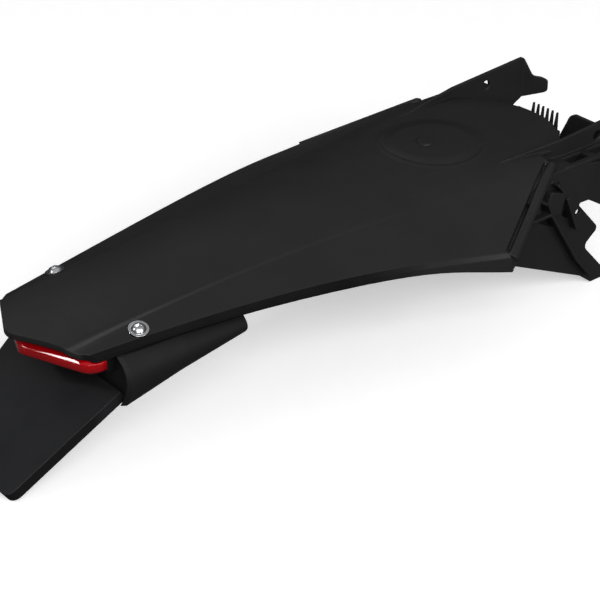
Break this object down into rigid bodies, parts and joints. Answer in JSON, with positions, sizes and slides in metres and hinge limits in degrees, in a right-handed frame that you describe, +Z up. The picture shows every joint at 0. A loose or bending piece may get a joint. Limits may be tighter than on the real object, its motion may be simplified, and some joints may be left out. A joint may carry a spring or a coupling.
{
  "type": "motorcycle rear fender",
  "caption": "Long moulded rear fender with beaded side panels, drilled ears, ribbed side brackets, and a plate holder with a red tail light under its pointed tail.",
  "frame": {"origin": "midway between the two ear holes, on their common axis", "axes": "+X to the front of the motorcycle, along the fender; +Y to its left, along the ear holes; +Z up"},
  "size_m": [0.5789, 0.2446, 0.1282],
  "materials": {
    "black_moulding": "satin black thermoplastic moulding",
    "red_lens": "clear deep red, glossy",
    "dark_housing": "black moulded",
    "board": "coated circuit board",
    "emitter": "pale resin",
    "zinc": "bright zinc plated steel",
    "grommet": "black rubber"
  },
  "bodies": {
    "root": {"fender_shell": "black_moulding", "plate_holder": "black_moulding", "light_lens": "red_lens", "light_housing": "dark_housing", "led_board": "board", "led_1": "emitter", "led_2": "emitter", "led_3": "emitter", "led_4": "emitter", "led_5": "emitter", "led_6": "emitter", "led_7": "emitter", "led_8": "emitter", "led_9": "emitter", "led_10": "emitter", "light_screws": "zinc", "cable_grommet": "grommet", "fender_screws": "zinc", "fender_nuts": "zinc"}
  },
  "joints": []
}
